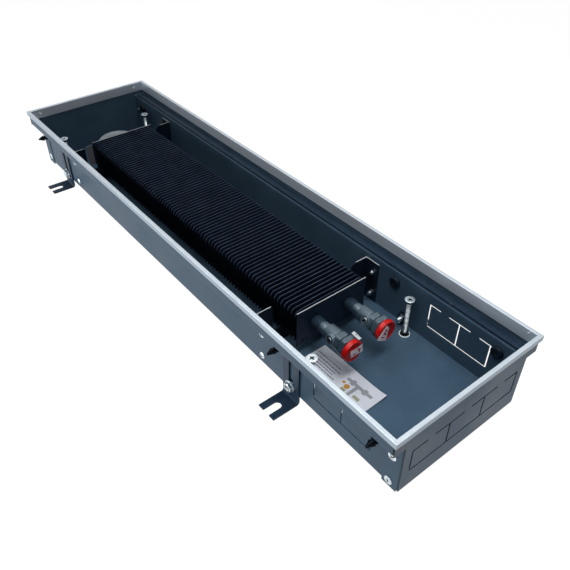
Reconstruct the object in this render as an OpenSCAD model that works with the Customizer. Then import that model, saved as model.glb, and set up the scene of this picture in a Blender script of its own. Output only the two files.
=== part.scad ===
// Trench convector heater for water: a folded sheet trough with a finned heat exchanger,
// two capped connection fittings, adjustable foot brackets and levelling bolts.
// X runs along the trough towards the connections, Y across it, Z up from the ground.

/* [Casing] */
// Length of the casing over both end plates
casing_l = 1000; // [980:5:1400]
// Width of the upper band that carries the rim
band_w = 250; // [246:1:260]
// Width of the trough under the step
trough_w = 212; // [210:1:216]
// Depth from the rim's top face to the trough's underside
casing_d = 110; // [108:1:125]
// Height of the step over the trough's underside
step_h = 83; // [82:1:86]
// Thickness of the casing sheet
sheet_t = 1.2; // [1:0.1:1.5]
// Inside radius of the folds
fold_r = 1.5; // [1:0.25:2]
// Clear height under the trough
stand_h = 12; // [11:0.5:20]

/* [Rim] */
// Distance that the rim's lip stands out past the casing
rim_over = 2.5; // [2:0.25:3]
// Width of the rim's top face
rim_w = 5.7; // [5.5:0.1:7]
// Thickness of the rim's top face
rim_t = 1.6; // [1.2:0.1:2]
// Height of the outer lip
lip_h = 8; // [6:0.5:10]
// Height of the inner leg
leg_h = 18; // [14:0.5:20]

/* [Heat exchanger] */
// Length over the two end plates
hx_l = 621; // [400:1:625]
// Place of the end plate next to the connections
hx_x = 263; // [255:1:265]
// Number of fins
fin_n = 82; // [40:1:82]
// Distance from one fin to the next
fin_pitch = 7.5; // [4:0.1:7.5]
// Width of a fin
fin_w = 124; // [120:1:126]
// Height of a fin
fin_h = 52; // [46:1:53]
// Thickness of a fin
fin_t = 0.5; // [0.4:0.1:0.8]
// Distance between the two water tubes
tube_pitch = 61; // [58:1:62]
// Outside diameter of the water tubes
tube_d = 16; // [15:0.5:17]

/* [Fittings] */
// Length of a fitting from its neck to the back of its cap
fitting_l = 54.5; // [52:0.5:62]
// Width across the flats of the fitting's collar
collar_af = 30; // [28:0.5:30]
// Outside diameter of a cap
cap_d = 32; // [30:0.5:36]
// Length of a cap
cap_l = 7; // [6:0.5:10]

/* [Supports] */
// Width of a foot bracket
foot_w = 32; // [26:1:36]
// Reach of a foot from the middle of the heater
foot_reach = 150; // [148:1:160]
// Thickness of a foot bracket
foot_t = 2.5; // [2:0.25:3]
// Length of a levelling bolt
level_l = 80; // [70:1:85]
// Diameter of the levelling and foot bolts
bolt_d = 8; // [6:1:8]

/* [Hidden] */
$fn = 48;
fold_steps = 5;
clear = 0.3;
touch = 0.05;

floor_z = stand_h;
floor_top = floor_z + sheet_t;
step_z = stand_h + step_h;
step_top = step_z + sheet_t;
rim_z = stand_h + casing_d;
band_z = rim_z - rim_t;
wall_y = trough_w / 2;
wall_in = wall_y - sheet_t;
band_y = band_w / 2;
end_x = casing_l / 2;
end_in = end_x - sheet_t;
casing_end = end_in - fold_r - 0.1;
rim_x = end_x + rim_over;
rim_y = band_y + rim_over;
strip_y = wall_y + fold_r;

// Knock-outs, from the ground up and from the trough's middle out
slot_w = 2.3;
side_ko_z = [38.5, 77.5];
side_ko_x = [350.5, 401, 451.5];
end_ko_z = [43, 79];
end_ko_y = [-93, -31, 31, 93];

// Barbed plugs pushed out through the side walls
plug_x = [463, 283.5, -467];
plug_z = 76;
plug_shaft_r = 3.5;
plug_head_r = 9.5;
plug_head_h = 5;
plug_l = 22.5;
plug_barb_r = 5.7;

// End plate flanges and their screws
flange_l = 25;
flange_top = step_z - 2;
end_screw_x = [485, -484];
end_screw_z = [[20, 66], [25, 69]];
end_screw_r = 2.1;

// Heat exchanger
hx_far = hx_x - hx_l;
hx_y = 1;
hx_tail = 27;
hx_mid = hx_x - hx_l / 2;
tube_z = rim_z - 58.5;
tube_r = tube_d / 2;
tube_y = [hx_y - tube_pitch / 2, hx_y + tube_pitch / 2];
fin_z = 39;
fin_r = 7;
hx_plate_t = 1.5;
hx_plate_w = 126;
hx_plate_z = [31, 92];
hx_hole_y = 54;
hx_hole_z = [38, 81];
hx_hole_r = 2.2;
// Ear on the front edge of the far plate: its reach and its two heights
hx_ear_y = 75;
hx_ear_z = [47, 88];
hx_ear_r = 4;

// Holders under and beside the heat exchanger
holder_t = 1.5;
fold_clear = fold_r + 0.1;
holder_top = 86;
holder_under = 40;
holder_tongue = 21;
holder_wall_l = 27.5;
holder_screw_z = [27, 67];
holder_screw_r = 2;
// For each holder its plate's place, the side of its wall leg, its screws' distance from the
// plate, its reach towards the middle and the radius of its top corner
holder_front = [[222.5, 1, 20, 73, 3], [hx_far + 1.6, 1, 5.2, 80, 3]];
holder_back = [[222.5, 1, 17, 73, 10], [hx_far + 1.6 + holder_t, -1, 14, 73, 10]];

// Fittings, measured from the heat exchanger's end plate
sleeve_r = 9.3;
sleeve_l = 16;
neck_r = 9.2;
body_r = 12.5;
water_r = 7.5;
thread_r = 13.2;
collar_l = 9;
facet_af = 26;
facet_l = 13;
port_r = 7.8;
port_reach = 14;
port_bore_r = 4.65;
port_bore_depth = 7;
bleed_r = 4.6;
fitting_x = hx_x + sleeve_l;
// Place of each vent port along its fitting and its turn above the front, supply then return
port_x = [30.5, 28];
port_angle = [-23, -15];
cap_gap = 0.5;

// Levelling bolts and their threaded inserts
level_x = [326, -432.5];
level_y = 89.4;
level_head_r = 7.3;
level_head_h = 4.4;
insert_r = 5.4;
insert_flange_r = 7.6;
insert_collar = 6;

// Foot brackets
foot_x = [308, -397];
foot_bolt_z = 25;
foot_slot_z = [19, 75];
foot_slot_w = 9;
foot_fork_w = 12.2;
foot_fork_y = 131.7;
foot_bend = 3;
hex_af = 13;
hex_h = 5.3;
washer_r = 9;
washer_t = 1.6;
nut_t = 6.5;

// Printed sheet on the floor
label_x = [271.5, 394];
label_y = [-80, -16];
label_t = 0.3;

// Directions in a flat outline
function unit(v) = v / norm(v);
function left(v) = [-v[1], v[0]];
function cross2(a, b) = a[0] * b[1] - a[1] * b[0];
function spin(v, a) = [v[0] * cos(a) - v[1] * sin(a), v[0] * sin(a) + v[1] * cos(a)];
function backwards(list) = [for (i = [len(list) - 1:-1:0]) list[i]];

// One face of a folded sheet: the route moved to its left by off, with its corners bent round
function fold_corner(before, here, after, off, bend) =
    let (
        a = unit(here - before),
        b = unit(after - here),
        side = sign(cross2(a, b)),
        angle = acos(a * b),
        centre = here - a * bend * tan(angle / 2) + left(a) * side * bend,
        r = bend - side * off
    )
    [for (k = [0:fold_steps]) centre - side * r * spin(left(a), side * angle * k / fold_steps)];

function fold_face(route, off, bend) =
    let (last = len(route) - 1)
    [
        route[0] + left(unit(route[1] - route[0])) * off,
        for (i = [1:last - 1]) each fold_corner(route[i - 1], route[i], route[i + 1], off, bend),
        route[last] + left(unit(route[last] - route[last - 1])) * off
    ];

// Closed outline of a sheet of thickness t folded along a route through its middle
function folded(route, t, r) =
    concat(fold_face(route, t / 2, r + t / 2), backwards(fold_face(route, -t / 2, r + t / 2)));

// Extrudes an outline drawn in Y and Z along X
module along_x(x0, x1) {
    translate([x0, 0, 0]) rotate([90, 0, 90]) linear_extrude(x1 - x0) children();
}

// Extrudes an outline drawn in X and Z along Y
module along_y(y0, y1) {
    translate([0, y1, 0]) rotate([90, 0, 0]) linear_extrude(y1 - y0) children();
}

// Box between two corners
module block(low, high) {
    translate(low) cube(high - low);
}

module rod_x(r, x0, x1, y = 0, z = 0) {
    translate([x0, y, z]) rotate([0, 90, 0]) cylinder(h = x1 - x0, r = r);
}

module rod_y(r, y0, y1, x = 0, z = 0) {
    translate([x, y1, z]) rotate([90, 0, 0]) cylinder(h = y1 - y0, r = r);
}

// Long hole with round ends, drawn flat
module slot2d(length, width) {
    square([length - width, width], center = true);
    for (s = [-1, 1]) translate([s * (length - width) / 2, 0]) circle(d = width);
}

// Turns a piece drawn facing +X to face -X when side is -1
module facing(side) {
    if (side > 0) children();
    else mirror([1, 0, 0]) children();
}

// Copies on the front and the back side
module both_sides() {
    children();
    mirror([0, 1, 0]) children();
}

// ---- Casing ----

casing_route = [
    [-band_y + sheet_t / 2, band_z],
    [-band_y + sheet_t / 2, step_z + sheet_t / 2],
    [-wall_y + sheet_t / 2, step_z + sheet_t / 2],
    [-wall_y + sheet_t / 2, floor_z + sheet_t / 2],
    [wall_y - sheet_t / 2, floor_z + sheet_t / 2],
    [wall_y - sheet_t / 2, step_z + sheet_t / 2],
    [band_y - sheet_t / 2, step_z + sheet_t / 2],
    [band_y - sheet_t / 2, band_z]
];

// Knock-out slots, drawn flat: risers at each place, a line below, open bridges above
module knock_out_slots(places, z, arm) {
    last = len(places) - 1;
    translate([places[0], z[0] - slot_w / 2]) square([places[last] - places[0], slot_w]);
    for (i = [0:last]) {
        foot = i == 0 ? 3 : 0;
        translate([places[i] - slot_w / 2, z[0] + foot]) square([slot_w, z[1] - z[0] - foot]);
        from = i == 0 ? 0 : -arm;
        to = i == last ? 0 : arm;
        translate([places[i] + from - slot_w / 2, z[1] - slot_w / 2])
            square([to - from + slot_w, slot_w]);
    }
}

// Round hole through the front side wall and an end plate's flange on it
module wall_hole(x, z, r) {
    rod_y(r, -wall_y - 2, -wall_y + 3, x, z);
}

module holder_holes(holders) {
    for (h = holders) for (z = holder_screw_z) wall_hole(holder_screw_x(h), z, holder_screw_r + touch);
}

module casing() {
    color([0.20, 0.25, 0.30]) difference() {
        along_x(-casing_end, casing_end) polygon(folded(casing_route, sheet_t, fold_r));
        both_sides() {
            along_y(-wall_y - 1, -wall_y + 3) knock_out_slots(side_ko_x, side_ko_z, 17);
            for (x = plug_x) wall_hole(x, plug_z, plug_shaft_r + touch);
            for (x = foot_x) wall_hole(x, foot_bolt_z, bolt_d / 2 + touch);
            for (s = [0, 1]) for (z = end_screw_z[s]) wall_hole(end_screw_x[s], z, end_screw_r + touch);
            for (x = level_x) translate([x, -level_y, floor_z - 1]) cylinder(h = 5, r = insert_r + touch);
        }
        holder_holes(holder_front);
        mirror([0, 1, 0]) holder_holes(holder_back);
    }
}

// ---- End plates ----

flange_y = wall_y + sheet_t;
flange_z = floor_z - sheet_t;

// Route of an end plate's sheet seen from above: two flanges that clasp the trough
end_route = [
    [end_x - flange_l, -flange_y + sheet_t / 2],
    [end_x - sheet_t / 2, -flange_y + sheet_t / 2],
    [end_x - sheet_t / 2, flange_y - sheet_t / 2],
    [end_x - flange_l, flange_y - sheet_t / 2]
];

bottom_route = [
    [end_x - flange_l, floor_z - sheet_t / 2],
    [end_x - sheet_t / 2, floor_z - sheet_t / 2],
    [end_x - sheet_t / 2, floor_z + 10]
];

// The side flanges reach lower than the folds, with a relief notch at each corner
module end_plate(s) {
    relief = fold_r + sheet_t;
    difference() {
        union() {
            translate([0, 0, floor_z + relief]) linear_extrude(flange_top - floor_z - relief)
                polygon(folded(end_route, sheet_t, fold_r));
            both_sides()
                block([end_x - flange_l, -flange_y, flange_z], [end_x - relief, -wall_y, floor_z + relief]);
            block([end_in, -wall_y, floor_z + 1], [end_x, wall_y, step_z + 1]);
            block([end_in, -band_y, step_z], [end_x, band_y, band_z]);
            along_y(-wall_y + 4, wall_y - 4) polygon(folded(bottom_route, sheet_t, fold_r));
        }
        for (z = end_screw_z[s]) both_sides() wall_hole(abs(end_screw_x[s]), z, end_screw_r + touch);
    }
}

module end_plate_valve() {
    color([0.22, 0.26, 0.30]) difference() {
        end_plate(0);
        along_x(end_x - 3, end_x + 1) knock_out_slots(end_ko_y, end_ko_z, 23.5);
    }
}

module end_plate_far() {
    color([0.22, 0.26, 0.30]) mirror([1, 0, 0]) end_plate(1);
}

// ---- Rim ----

// Round corner of an outline about a centre, from angle a0 to a1
function arc(centre, r, a0, a1, n = 4) = [for (i = [0:n]) let (a = a0 + (a1 - a0) * i / n)
    centre + r * [cos(a), sin(a)]];

lip_t = 1.3;
leg_t = 1.4;
edge_r = 0.6;

// Section of the rim, with its outer face at half and the middle of the heater at 0
function rim_section(half) = concat(
    [
        [half - rim_w, rim_z - leg_h],
        [half - rim_w + leg_t, rim_z - leg_h],
        [half - rim_w + leg_t, band_z],
        [half - lip_t, band_z],
        [half - lip_t, rim_z - lip_h],
        [half, rim_z - lip_h]
    ],
    arc([half - edge_r, rim_z - edge_r], edge_r, 0, 90),
    arc([half - rim_w + edge_r, rim_z - edge_r], edge_r, 90, 180)
);

// Keeps what lies on the outer side of both mitres of one straight side
module mitred(half_long, half_wide) {
    deep = 30;
    intersection() {
        children();
        translate([0, 0, rim_z - 40]) linear_extrude(60) polygon([
            [-half_long - 1 + touch, half_wide + 1],
            [half_long + 1 - touch, half_wide + 1],
            [half_long - deep - touch, half_wide - deep],
            [-half_long + deep + touch, half_wide - deep]
        ]);
    }
}

module rim_side() {
    mitred(rim_x, rim_y) along_x(-rim_x, rim_x) polygon(rim_section(rim_y));
}

module rim_end() {
    rotate([0, 0, -90]) mitred(rim_y, rim_x) along_x(-rim_y, rim_y) polygon(rim_section(rim_x));
}

module rim_front() {
    color([0.82, 0.85, 0.87]) mirror([0, 1, 0]) rim_side();
}

module rim_back() {
    color([0.82, 0.85, 0.87]) rim_side();
}

module rim_valve_end() {
    color([0.82, 0.85, 0.87]) rim_end();
}

module rim_far_end() {
    color([0.82, 0.85, 0.87]) mirror([1, 0, 0]) rim_end();
}

// ---- Rest strips that carry the grille ----

strip_in_x = 10;
strip_t = 1.8;
strip_bead = 1;
strip_back = rim_y - rim_w - 0.2;

module rest_strip() {
    along_x(-end_x + strip_in_x, end_x - strip_in_x) polygon(concat(
        [
            [strip_y, step_top],
            [strip_back, step_top],
            [strip_back, step_top + strip_t],
            [strip_y + 4, step_top + strip_t],
            [strip_y + 3, step_top + strip_t - 0.6],
            [strip_y + 2.4, step_top + strip_t - 0.6]
        ],
        arc([strip_y + 1.2, step_top + strip_t + strip_bead - 1.2], 1.2, 20, 180, 6)
    ));
}

module rest_strip_front() {
    color([0.12, 0.16, 0.20]) mirror([0, 1, 0]) rest_strip();
}

module rest_strip_back() {
    color([0.12, 0.16, 0.20]) rest_strip();
}

// ---- Heat exchanger ----

module fin_outline() {
    half = fin_w / 2;
    difference() {
        polygon(concat(
            [[half, fin_z], [half, fin_z + fin_h - fin_r]],
            arc([half - fin_r, fin_z + fin_h - fin_r], fin_r, 0, 90),
            arc([-half + fin_r, fin_z + fin_h - fin_r], fin_r, 90, 180),
            [[-half, fin_z]]
        ));
        for (y = tube_y) translate([y - hx_y, tube_z]) circle(r = tube_r + touch);
    }
}

module fins() {
    first = hx_mid - (fin_n - 1) * fin_pitch / 2 - fin_t / 2;
    color([0.07, 0.07, 0.08]) translate([0, hx_y, 0])
        for (i = [0:fin_n - 1]) along_x(first + i * fin_pitch, first + i * fin_pitch + fin_t) fin_outline();
}

module water_tubes() {
    color([0.45, 0.30, 0.20]) for (y = tube_y) difference() {
        rod_x(tube_r, hx_far - hx_tail, hx_x + sleeve_l - 2, y, tube_z);
        rod_x(tube_r - 1, hx_far - hx_tail - 1, hx_x + sleeve_l, y, tube_z);
    }
}

// Half ring that joins the two tubes behind the far end plate
module return_bend() {
    color([0.55, 0.58, 0.60]) translate([hx_far - hx_tail, hx_y, tube_z]) rotate([0, 0, 90])
        rotate_extrude(angle = 180) translate([tube_pitch / 2, 0]) difference() {
            circle(r = tube_r);
            circle(r = tube_r - 1);
        }
}

module hx_plate(x) {
    low = [x, hx_y - hx_plate_w / 2, hx_plate_z[0]];
    high = [x + hx_plate_t, hx_y + hx_plate_w / 2, hx_plate_z[1]];
    color([0.10, 0.12, 0.14]) difference() {
        union() {
            block(low, high);
            children();
        }
        for (y = tube_y) rod_x(tube_r + touch, x - 1, x + 3, y, tube_z);
        for (s = [-1, 1]) for (z = hx_hole_z) rod_x(hx_hole_r, x - 1, x + 3, hx_y + s * hx_hole_y, z);
    }
}

module hx_plate_valve() {
    hx_plate(hx_x - hx_plate_t);
}

// The far plate has an ear beyond the front holder's edge, round at its lower corner
module hx_plate_far() {
    hx_plate(hx_far) along_x(hx_far, hx_far + hx_plate_t) polygon(concat(
        [[-hx_plate_w / 2 + 2, hx_ear_z[1]], [-hx_ear_y, hx_ear_z[1]]],
        arc([-hx_ear_y + hx_ear_r, hx_ear_z[0] + hx_ear_r], hx_ear_r, 180, 270),
        [[-hx_plate_w / 2 + 2, hx_ear_z[0]]]
    ));
}

// ---- Holders ----

function holder_screw_x(h) = h[0] + h[1] * h[2];

// Cross plate of a holder: beside the fins above, under them below, clear of the casing's fold
module holder_cross(reach, corner_r) {
    polygon(concat(
        [[-wall_in, floor_top + fold_clear], [-wall_in + fold_clear, floor_top]],
        [[-holder_under, floor_top], [-holder_under, fin_z], [-reach, fin_z]],
        arc([-reach - corner_r, holder_top - corner_r], corner_r, 0, 90),
        [[-wall_in, holder_top]]
    ));
}

// A holder bent from one sheet: cross plate, wall leg and a tongue under the fins
module holder(h) {
    plate = h[1] > 0 ? h[0] : h[0] - holder_t;
    middle = h[0] > hx_mid ? -1 : 1;
    color([0.09, 0.12, 0.16]) difference() {
        union() {
            along_x(plate, plate + holder_t) holder_cross(h[3], h[4]);
            translate([h[0], 0, 0]) facing(h[1])
                block([0, -wall_in, floor_top + fold_clear],
                    [holder_wall_l, -wall_in + holder_t, holder_top]);
            translate([plate + holder_t / 2, 0, 0]) facing(middle)
                block([0, -holder_under - 22, fin_z - holder_t], [holder_tongue, -holder_under, fin_z]);
        }
        for (z = holder_screw_z) wall_hole(holder_screw_x(h), z, holder_screw_r + touch);
    }
}

module holder_valve_front() {
    holder(holder_front[0]);
}

module holder_valve_back() {
    mirror([0, 1, 0]) holder(holder_back[0]);
}

module holder_far_front() {
    holder(holder_front[1]);
}

module holder_far_back() {
    mirror([0, 1, 0]) holder(holder_back[1]);
}

module at_holder_screws() {
    for (h = holder_front) for (z = holder_screw_z) translate([holder_screw_x(h), -wall_y, z]) children();
    mirror([0, 1, 0]) for (h = holder_back) for (z = holder_screw_z)
        translate([holder_screw_x(h), -wall_y, z]) children();
}

// Pan head with a cross recess, its seat at y = 0 and its shaft towards +Y
module pan_screw(head_r, head_h, shaft_r, shaft_l) {
    difference() {
        union() {
            rotate([90, 0, 0]) cylinder(h = head_h, r1 = head_r, r2 = head_r * 0.72);
            rotate([-90, 0, 0]) cylinder(h = shaft_l, r = shaft_r);
        }
        for (a = [0, 90]) rotate([0, a, 0])
            translate([0, -head_h, 0]) cube([head_r * 1.1, head_h, head_r * 0.22], center = true);
    }
}

module holder_screws() {
    color([0.80, 0.82, 0.84]) at_holder_screws() pan_screw(5.2, 2.4, holder_screw_r, 9);
}

module holder_nuts() {
    color([0.70, 0.72, 0.74]) at_holder_screws() translate([0, sheet_t + holder_t, 0]) rotate([-90, 0, 0])
        difference() {
            rotate(30) cylinder(h = 3.2, d = 7 / cos(30), $fn = 6);
            translate([0, 0, -1]) cylinder(h = 6, r = holder_screw_r + touch);
        }
}

// ---- Barbed plugs ----

// Half outline of a plug: domed head inside the trough, two barbs outside
plug_profile = concat(
    [[0, -plug_head_h - sheet_t]],
    arc([plug_head_r - 2.4, -sheet_t - plug_head_h + 2.4], 2.4, -90, 0),
    [
        [plug_head_r, -sheet_t],
        [plug_shaft_r, -sheet_t],
        [plug_shaft_r, 5],
        [plug_barb_r + 0.4, 5.6],
        [plug_shaft_r, 10.6],
        [plug_shaft_r, 11],
        [plug_barb_r, 11.4],
        [1.4, plug_l],
        [0, plug_l]
    ]
);

// Barbs are four fins round a core
module plug() {
    fin = 2.6;
    core_r = 2.4;
    rotate([90, 0, 0]) intersection() {
        rotate_extrude() polygon(plug_profile);
        union() {
            translate([0, 0, -plug_head_h - sheet_t - 1])
                cylinder(h = plug_head_h + sheet_t + 2, r = plug_head_r + 1);
            cylinder(h = plug_l + 1, r = core_r);
            for (a = [0, 90]) rotate([0, 0, a]) translate([-fin / 2, -10, 0]) cube([fin, 20, plug_l + 1]);
        }
    }
}

module wall_plugs() {
    color([0.06, 0.07, 0.08]) both_sides() for (x = plug_x) translate([x, -wall_y, plug_z]) plug();
}

// ---- Pipe sleeves and connection fittings ----

module sleeve(y) {
    color([0.17, 0.21, 0.25]) difference() {
        rod_x(sleeve_r, hx_x, hx_x + sleeve_l, y, tube_z);
        rod_x(tube_r + touch, hx_x - 1, hx_x + sleeve_l + 1, y, tube_z);
    }
}

module sleeve_supply() {
    sleeve(tube_y[1]);
}

module sleeve_return() {
    sleeve(tube_y[0]);
}

// Turned profile of a fitting along its own axis, from the sleeve to the thread's end
fitting_profile = [
    [0, 0], [neck_r - 1, 0], [neck_r - 1, 1.4], [neck_r, 1.4], [neck_r, 10.4], [neck_r - 0.8, 10.4],
    [neck_r - 0.8, 11.6], [body_r - 1, 11.6], [body_r, 13], [body_r, fitting_l - collar_l],
    [thread_r - 1, fitting_l - 1], [thread_r, fitting_l - 0.5], [thread_r, fitting_l + 4],
    [thread_r - 1, fitting_l + 5], [0, fitting_l + 5]
];

// Six flats between two ends, their corners turned off
module hex_prism(af, z0, z1, corner) {
    translate([0, 0, z0]) intersection() {
        cylinder(h = z1 - z0, d = af / cos(30), $fn = 6);
        cylinder(h = z1 - z0, r = af / 2 + corner);
    }
}

// Turns a piece drawn along +Z to stand along a fitting's vent port
module at_port(s) {
    translate([0, 0, port_x[s]]) rotate([0, 90, 0]) children();
}

// The fitting lies along +Z here, with its vent port along +X; s is 0 for supply, 1 for return
module fitting_body(s) {
    hex_end = fitting_l - 0.4;
    difference() {
        union() {
            rotate_extrude() polygon(fitting_profile);
            rotate([0, 0, -port_angle[s]]) {
                hex_prism(facet_af, fitting_l - collar_l - facet_l, fitting_l - collar_l, 1.2);
                hex_prism(collar_af, hex_end - collar_l, hex_end, 1.8);
            }
            at_port(s) cylinder(h = port_reach, r = port_r);
        }
        translate([0, 0, -1]) cylinder(h = fitting_l + 10, r = water_r);
        at_port(s) {
            translate([0, 0, port_reach - port_bore_depth])
                cylinder(h = port_bore_depth + 1, r = port_bore_r);
            cylinder(h = port_reach, r = 2);
        }
    }
}

// Turns a piece drawn along +Z into place on its tube, its port turned above the front
module on_fitting(s) {
    translate([fitting_x, tube_y[1 - s], tube_z]) rotate([port_angle[s], 0, 0])
        rotate([0, 90, 0]) rotate([0, 0, -90]) children();
}

module bleed_screw(s) {
    head = 1.2;
    slot_deep = 1.4;
    seat = port_bore_depth - 1.5;
    at_port(s) translate([0, 0, port_reach - seat]) difference() {
        union() {
            cylinder(h = seat + head - 1, r = bleed_r);
            translate([0, 0, seat]) cylinder(h = head, r = bleed_r - 0.4);
        }
        translate([0, 0, seat + head]) cube([12, 1.2, 2 * slot_deep], center = true);
    }
}

module cap() {
    wall = 1.6;
    translate([0, 0, fitting_l + cap_gap]) difference() {
        rotate_extrude() polygon([
            [0, 0], [cap_d / 2 + 0.5, 0], [cap_d / 2 + 0.5, 1.4], [cap_d / 2, 1.8],
            [cap_d / 2, cap_l - 1.6], [cap_d / 2 - 1.6, cap_l], [0, cap_l]
        ]);
        translate([0, 0, -1]) cylinder(h = cap_l - wall + 1, r = thread_r + 0.1);
    }
}

module fitting_supply() {
    color([0.30, 0.37, 0.42]) on_fitting(0) fitting_body(0);
}

module fitting_return() {
    color([0.30, 0.37, 0.42]) on_fitting(1) fitting_body(1);
}

module bleed_screw_supply() {
    color([0.20, 0.24, 0.28]) on_fitting(0) bleed_screw(0);
}

module bleed_screw_return() {
    color([0.20, 0.24, 0.28]) on_fitting(1) bleed_screw(1);
}

module cap_supply() {
    color([0.85, 0.08, 0.06]) on_fitting(0) cap();
}

module cap_return() {
    color([0.85, 0.08, 0.06]) on_fitting(1) cap();
}

// ---- Levelling bolts ----

module level_bolt(x, y) {
    recess_r = 3.6;
    head_edge = 0.9;
    color([0.82, 0.85, 0.86]) translate([x, y, 0]) difference() {
        union() {
            cylinder(h = 1.2, r1 = bolt_d / 2 - 1.2, r2 = bolt_d / 2);
            translate([0, 0, 1.2]) cylinder(h = level_l - 3, r = bolt_d / 2);
            translate([0, 0, level_l - level_head_h])
                cylinder(h = level_head_h - head_edge, r1 = bolt_d / 2, r2 = level_head_r);
            translate([0, 0, level_l - head_edge]) cylinder(h = head_edge, r = level_head_r);
        }
        for (a = [0, 90]) rotate([0, 0, a]) translate([0, 0, level_l])
            cube([recess_r * 2, 1.5, 5], center = true);
    }
}

module level_bolt_valve_front() {
    level_bolt(level_x[0], -level_y);
}

module level_bolt_valve_back() {
    level_bolt(level_x[0], level_y);
}

module level_bolt_far_front() {
    level_bolt(level_x[1], -level_y);
}

module level_bolt_far_back() {
    level_bolt(level_x[1], level_y);
}

module level_inserts() {
    color([0.60, 0.63, 0.66]) both_sides() for (x = level_x) translate([x, -level_y, 0]) difference() {
        union() {
            translate([0, 0, floor_z - 4]) cylinder(h = 4 + sheet_t + insert_collar, r = insert_r);
            translate([0, 0, floor_top]) cylinder(h = 1, r = insert_flange_r);
        }
        translate([0, 0, floor_z - 5]) cylinder(h = 20, r = bolt_d / 2 + touch);
    }
}

// ---- Foot brackets ----

foot_in = wall_y + clear;
foot_top = step_z - 2;

module foot(x) {
    leg_y = -foot_in - foot_t / 2;
    route = [[leg_y, foot_top], [leg_y, foot_t / 2], [-foot_reach, foot_t / 2]];
    slot_l = foot_slot_z[1] - foot_slot_z[0];
    color([0.08, 0.11, 0.15]) difference() {
        along_x(x - foot_w / 2, x + foot_w / 2) polygon(folded(route, foot_t, foot_bend));
        along_y(-foot_in - foot_t - 1, -foot_in + 1)
            translate([x, foot_slot_z[0] + slot_l / 2]) rotate(90) slot2d(slot_l, foot_slot_w);
        translate([x, -foot_fork_y, -1]) cylinder(h = foot_t + 2, d = foot_fork_w);
        block([x - foot_fork_w / 2, -foot_reach - 1, -1], [x + foot_fork_w / 2, -foot_fork_y, foot_t + 1]);
    }
}

module foot_valve_front() {
    foot(foot_x[0]);
}

module foot_valve_back() {
    mirror([0, 1, 0]) foot(foot_x[0]);
}

module foot_far_front() {
    foot(foot_x[1]);
}

module foot_far_back() {
    mirror([0, 1, 0]) foot(foot_x[1]);
}

foot_out = foot_in + foot_t + clear;

// Copies at each foot bolt, with +Y towards the trough
module at_foot_bolts() {
    both_sides() for (x = foot_x) translate([x, 0, foot_bolt_z]) children();
}

module foot_bolts() {
    head_y = -foot_out - washer_t;
    color([0.82, 0.85, 0.86]) at_foot_bolts() {
        translate([0, head_y, 0]) rotate([90, 0, 0]) cylinder(h = hex_h, d = hex_af / cos(30), $fn = 6);
        rod_y(bolt_d / 2, head_y, -wall_in + 13);
    }
}

module foot_washers() {
    color([0.55, 0.58, 0.60]) at_foot_bolts() difference() {
        rod_y(washer_r, -foot_out - washer_t, -foot_out);
        rod_y(bolt_d / 2 + touch, -foot_out - 5, -foot_out + 1);
    }
}

// Flanged hexagon nuts inside the trough
module foot_nuts() {
    color([0.35, 0.37, 0.40]) at_foot_bolts() translate([0, -wall_in, 0]) rotate([-90, 0, 0]) difference() {
        union() {
            cylinder(h = nut_t, d = hex_af / cos(30), $fn = 6);
            cylinder(h = 1.4, r = washer_r);
        }
        translate([0, 0, -1]) cylinder(h = nut_t + 2, r = bolt_d / 2 + touch);
    }
}

module end_screws() {
    color([0.82, 0.85, 0.86]) both_sides() for (s = [0, 1]) for (z = end_screw_z[s])
        translate([end_screw_x[s], -flange_y, z]) pan_screw(6, 1.7, end_screw_r, 8);
}

module floor_label() {
    color([0.78, 0.80, 0.82])
        block([label_x[0], label_y[0], floor_top], [label_x[1], label_y[1], floor_top + label_t]);
}

casing();
end_plate_valve();
end_plate_far();
rim_front();
rim_back();
rim_valve_end();
rim_far_end();
rest_strip_front();
rest_strip_back();
fins();
water_tubes();
return_bend();
hx_plate_valve();
hx_plate_far();
holder_valve_front();
holder_valve_back();
holder_far_front();
holder_far_back();
holder_screws();
holder_nuts();
wall_plugs();
sleeve_supply();
sleeve_return();
fitting_supply();
fitting_return();
bleed_screw_supply();
bleed_screw_return();
cap_supply();
cap_return();
level_bolt_valve_front();
level_bolt_valve_back();
level_bolt_far_front();
level_bolt_far_back();
level_inserts();
foot_valve_front();
foot_valve_back();
foot_far_front();
foot_far_back();
foot_bolts();
foot_washers();
foot_nuts();
end_screws();
floor_label();
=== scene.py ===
import math
import bmesh
import bpy
import numpy as np
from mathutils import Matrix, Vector


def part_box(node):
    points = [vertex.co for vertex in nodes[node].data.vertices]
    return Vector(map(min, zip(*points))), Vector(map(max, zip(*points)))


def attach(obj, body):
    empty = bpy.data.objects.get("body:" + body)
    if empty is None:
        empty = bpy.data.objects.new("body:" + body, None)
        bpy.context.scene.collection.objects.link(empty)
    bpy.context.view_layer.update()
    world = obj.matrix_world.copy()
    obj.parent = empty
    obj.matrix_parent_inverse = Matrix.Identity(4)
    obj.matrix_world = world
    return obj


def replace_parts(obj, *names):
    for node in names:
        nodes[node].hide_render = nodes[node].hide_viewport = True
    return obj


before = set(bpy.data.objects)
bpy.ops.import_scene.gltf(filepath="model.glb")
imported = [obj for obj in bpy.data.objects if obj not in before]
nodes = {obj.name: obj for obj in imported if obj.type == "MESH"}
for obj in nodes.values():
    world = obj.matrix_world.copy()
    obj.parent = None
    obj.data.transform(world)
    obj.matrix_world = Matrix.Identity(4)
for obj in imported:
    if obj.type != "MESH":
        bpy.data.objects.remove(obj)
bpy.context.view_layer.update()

mm = 0.001
root = "heater"

# The heater lies along X with its connections at +X; Z is up from the ground, in metres.
# The camera was fitted to the trough's edges: where it stands, its turn and its lens
view = {"place": (0.733186, -0.454335, 0.656083), "azimuth": 51.5623, "elevation": 39.9450,
        "sensor": 36.0, "focalPixels": 628.412, "picture": 570, "shiftPixels": -0.84}


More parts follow.
